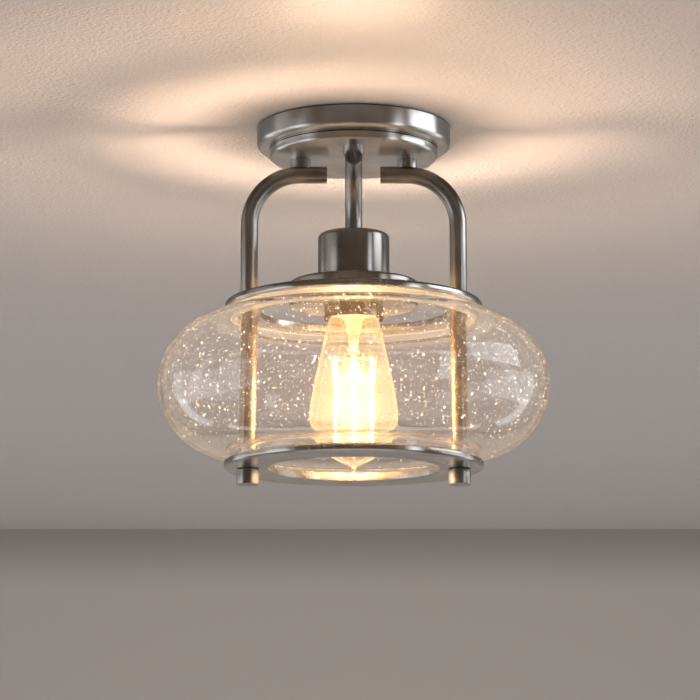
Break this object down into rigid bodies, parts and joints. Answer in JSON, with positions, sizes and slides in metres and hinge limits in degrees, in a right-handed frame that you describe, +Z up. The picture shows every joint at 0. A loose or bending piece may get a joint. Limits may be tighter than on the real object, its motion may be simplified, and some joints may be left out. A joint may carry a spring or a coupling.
{
  "type": "porch ceiling lantern",
  "caption": "Semi-flush porch lantern: stepped round canopy, bent tube arms, two flat rings round a bulged clear seeded-glass shade, and a lampholder with a tapered filament bulb.",
  "frame": {"origin": "centre of the two box-screw slots, on the ceiling plane and on the lantern's axis", "axes": "+Z up, out of the ceiling face; +X along the mounting strap and the two side arms; the middle arm's open end points to -Y, the front"},
  "size_m": [0.305, 0.305, 0.2843],
  "materials": {
    "brushed_nickel": "brushed nickel plate on steel",
    "ring_nickel": "brushed nickel plate on cast aluminium",
    "zinc_steel": "bright zinc",
    "brass_fittings": "plain",
    "green_screw": "green",
    "green_wire": "green insulation",
    "black_wire": "black insulation",
    "white_wire": "white insulation",
    "connector": "satin",
    "porcelain": "glazed",
    "gasket": "translucent silicone",
    "seeded_glass": "clear, seeded",
    "bulb_glass": "clear, warm",
    "cap_metal": "nickel",
    "insulator": "black glass",
    "solder": "solder",
    "filament": "glowing phosphor coat"
  },
  "bodies": {
    "fixture": {"mounting_strap": "zinc_steel", "earth_screw": "green_screw", "earth_wire": "green_wire", "canopy": "brushed_nickel", "rim_screws": "zinc_steel", "post_left": "brushed_nickel", "post_right": "brushed_nickel", "post_front": "brushed_nickel", "post_screws": "zinc_steel", "post_washer": "zinc_steel", "wire_nipple": "brass_fittings", "nipple_nut": "brass_fittings", "arm_left": "brushed_nickel", "arm_right": "brushed_nickel", "arm_stem": "brushed_nickel", "arm_plugs": "zinc_steel", "stem_plug": "zinc_steel", "ring_studs": "zinc_steel", "top_ring": "ring_nickel", "rod_left": "brushed_nickel", "rod_right": "brushed_nickel", "gasket_top": "gasket", "glass_shade": "seeded_glass", "gasket_bottom": "gasket", "bottom_ring": "ring_nickel", "cap_studs": "zinc_steel", "stem_nipple": "brass_fittings", "stem_nut": "brass_fittings", "socket_bracket": "zinc_steel", "bracket_screws": "zinc_steel", "socket_cup": "brushed_nickel", "pan_cover": "brushed_nickel", "spacer_tube": "zinc_steel", "reflector_plate": "brushed_nickel", "socket_sleeve": "brushed_nickel", "clamp_ring": "zinc_steel", "lampholder": "porcelain", "screw_shell": "brass_fittings", "centre_contact": "brass_fittings", "terminal_screws": "zinc_steel", "wire_black": "black_wire", "wire_white": "white_wire", "connector_black": "connector", "connector_white": "connector"},
    "bulb": {"bulb_cap": "cap_metal", "bulb_insulator": "insulator", "bulb_contact": "solder", "bulb_glass": "bulb_glass", "bulb_stem": "bulb_glass", "filament_bars": "filament", "filament_supports": "cap_metal"},
    "cap_left": {"cap_nut_left": "brushed_nickel"},
    "cap_right": {"cap_nut_right": "brushed_nickel"}
  },
  "joints": [
    {"name": "bulb_turn", "type": "hinge", "parent": "fixture", "child": "bulb", "pos_m": [0, 0, -0.15], "axis": [0, 0, -1], "range_deg": [0, 1800]},
    {"name": "cap_left_turn", "type": "hinge", "parent": "fixture", "child": "cap_left", "pos_m": [-0.082, 0, -0.275], "axis": [0, 0, -1], "range_deg": [0, 2520]},
    {"name": "cap_right_turn", "type": "hinge", "parent": "fixture", "child": "cap_right", "pos_m": [0.082, 0, -0.275], "axis": [0, 0, -1], "range_deg": [0, 2520]}
  ]
}
